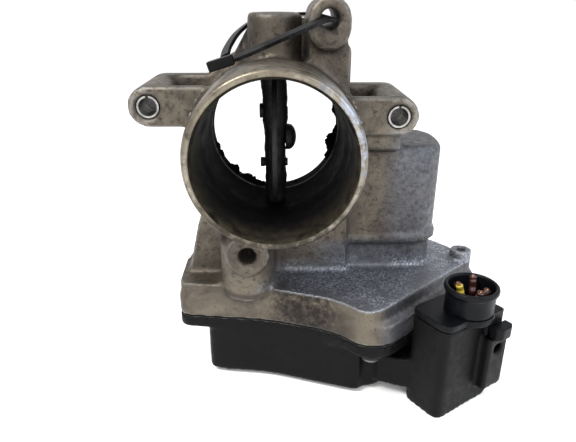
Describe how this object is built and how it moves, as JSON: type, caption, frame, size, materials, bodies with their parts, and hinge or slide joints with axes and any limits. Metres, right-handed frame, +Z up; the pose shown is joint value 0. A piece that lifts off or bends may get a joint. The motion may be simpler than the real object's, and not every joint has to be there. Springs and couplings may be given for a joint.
{
  "type": "throttle body",
  "caption": "Electric diesel throttle body: cast housing with a butterfly valve, motor pot, gear case with a plastic cover, and its harness plug still in the socket.",
  "frame": {"origin": "middle of the part's box, at the underside of the gear cover it stands on", "axes": "+Z up along the throttle shaft, -Y out of the inlet spigot, +Y out of the manifold face, +X towards the motor"},
  "size_m": [0.1444, 0.0808, 0.1527],
  "materials": {
    "cast_aluminium": "stained die casting, machined at the faces",
    "steel": "plain ground steel",
    "sooty_steel": "steel under soot",
    "zinc_plate": "zinc-plated steel",
    "plate_metal": "brass plate black with soot",
    "brass": "plain brass",
    "copper": "copper windings and segments",
    "ferrite": "dark sintered magnet and carbon",
    "rubber": "moulded rubber",
    "black_plastic": "glass-filled nylon, matt, dusty",
    "plug_plastic": "glass-filled nylon with a slight sheen",
    "pale_plastic": "acetal",
    "nylon": "black nylon",
    "circuit_board": "green solder mask",
    "yellow_wire": "yellow insulation, dirty",
    "dark_wire": "dark red insulation, dirty"
  },
  "bodies": {
    "body": {"housing": "cast_aluminium", "locating_sleeve_left": "steel", "locating_sleeve_right": "steel", "flange_ring_seal": "rubber", "lower_ball_bearing": "steel", "lower_shaft_seal": "rubber", "upper_needle_bearing": "steel", "upper_shaft_seal": "rubber", "bearing_cap": "zinc_plate", "idler_pin": "steel", "return_spring": "steel", "motor_can": "steel", "motor_end_cap": "black_plastic", "motor_magnet_1": "ferrite", "motor_magnet_2": "ferrite", "motor_brush_1": "ferrite", "motor_brush_2": "ferrite", "motor_mount_plate": "steel", "motor_screw_1": "zinc_plate", "motor_screw_2": "zinc_plate", "gear_cover": "black_plastic", "cover_gasket": "rubber", "cover_screw_1": "zinc_plate", "cover_screw_2": "zinc_plate", "cover_screw_3": "zinc_plate", "cover_screw_4": "zinc_plate", "cover_screw_5": "zinc_plate", "sensor_board": "circuit_board", "connector_pin_1": "brass", "connector_pin_2": "brass", "connector_pin_3": "brass", "connector_pin_4": "brass", "connector_pin_5": "brass", "cable_tie_strap": "nylon", "cable_tie_head": "nylon"},
    "throttle": {"throttle_shaft": "steel", "throttle_plate": "plate_metal", "plate_screw_1": "sooty_steel", "plate_screw_2": "sooty_steel", "plate_centre_rivet": "sooty_steel", "sector_gear": "black_plastic", "sensor_magnet": "ferrite"},
    "idler": {"idler_gear": "pale_plastic"},
    "rotor": {"motor_shaft": "steel", "armature": "copper", "commutator": "copper", "motor_pinion": "brass"},
    "plug": {"plug_housing": "plug_plastic", "plug_seal": "rubber", "wire_collar": "plug_plastic", "plug_lock": "plug_plastic", "plug_wire_1": "dark_wire", "plug_wire_2": "yellow_wire", "plug_wire_3": "dark_wire", "plug_wire_4": "dark_wire", "plug_wire_5": "dark_wire"}
  },
  "joints": [
    {"name": "throttle_turn", "type": "hinge", "parent": "body", "child": "throttle", "pos_m": [-0.01835, 0.01041, 0.1], "axis": [0, 0, 1], "range_deg": [0, 88], "stiffness_Nm_per_rad": 0.03, "springref_deg": -17.19},
    {"name": "idler_spin", "type": "hinge", "parent": "body", "child": "idler", "pos_m": [0.00774, 0.01501, 0.02], "axis": [0, 0, 1], "range_deg": [-272, 1]},
    {"name": "rotor_spin", "type": "hinge", "parent": "body", "child": "rotor", "pos_m": [0.03063, 0.02222, 0.07], "axis": [0, 0, 1], "range_deg": [-2, 1085]},
    {"name": "plug_pull", "type": "slide", "parent": "body", "child": "plug", "axis": [0, 0, 1], "range_m": [0, 0.022]}
  ],
  "couplings": [
    {"joint": "idler_spin", "follows": "throttle_turn", "ratio": -3.0769},
    {"joint": "rotor_spin", "follows": "throttle_turn", "ratio": 12.308}
  ]
}
